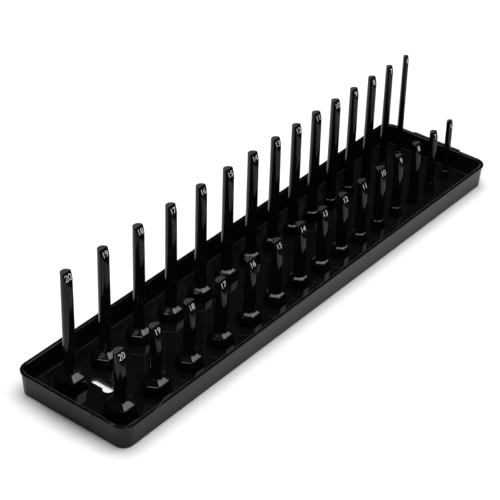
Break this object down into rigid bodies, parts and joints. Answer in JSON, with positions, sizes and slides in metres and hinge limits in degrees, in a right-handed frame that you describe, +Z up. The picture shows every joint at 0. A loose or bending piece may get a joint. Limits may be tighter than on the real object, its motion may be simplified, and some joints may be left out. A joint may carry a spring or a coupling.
{
  "type": "socket tray",
  "caption": "Shallow open drawer tray with a row of tall and a row of short posts on hexagonal seats, each holding one wrench socket, with slanted number flats on top.",
  "frame": {"origin": "centre of the tray's underside, on the surface that it stands on, below the middle of the part's box", "axes": "+X along the tray from the 20 mm lane to the 6 mm lane, +Y across it from the row of short pegs to the row of tall pegs, +Z up"},
  "size_m": [0.399, 0.0914, 0.0888],
  "materials": {
    "tray_plastic": "high gloss, black",
    "peg_plastic": "high gloss, black"
  },
  "bodies": {
    "root": {"tray": "tray_plastic", "deep_peg_20": "peg_plastic", "deep_peg_19": "peg_plastic", "deep_peg_18": "peg_plastic", "deep_peg_17": "peg_plastic", "deep_peg_16": "peg_plastic", "deep_peg_15": "peg_plastic", "deep_peg_14": "peg_plastic", "deep_peg_13": "peg_plastic", "deep_peg_12": "peg_plastic", "deep_peg_11": "peg_plastic", "deep_peg_10": "peg_plastic", "deep_peg_09": "peg_plastic", "deep_peg_08": "peg_plastic", "deep_peg_07": "peg_plastic", "deep_peg_06": "peg_plastic", "shallow_peg_20": "peg_plastic", "shallow_peg_19": "peg_plastic", "shallow_peg_18": "peg_plastic", "shallow_peg_17": "peg_plastic", "shallow_peg_16": "peg_plastic", "shallow_peg_15": "peg_plastic", "shallow_peg_14": "peg_plastic", "shallow_peg_13": "peg_plastic", "shallow_peg_12": "peg_plastic", "shallow_peg_11": "peg_plastic", "shallow_peg_10": "peg_plastic", "shallow_peg_09": "peg_plastic", "shallow_peg_08": "peg_plastic", "shallow_peg_07": "peg_plastic", "shallow_peg_06": "peg_plastic"}
  },
  "joints": []
}
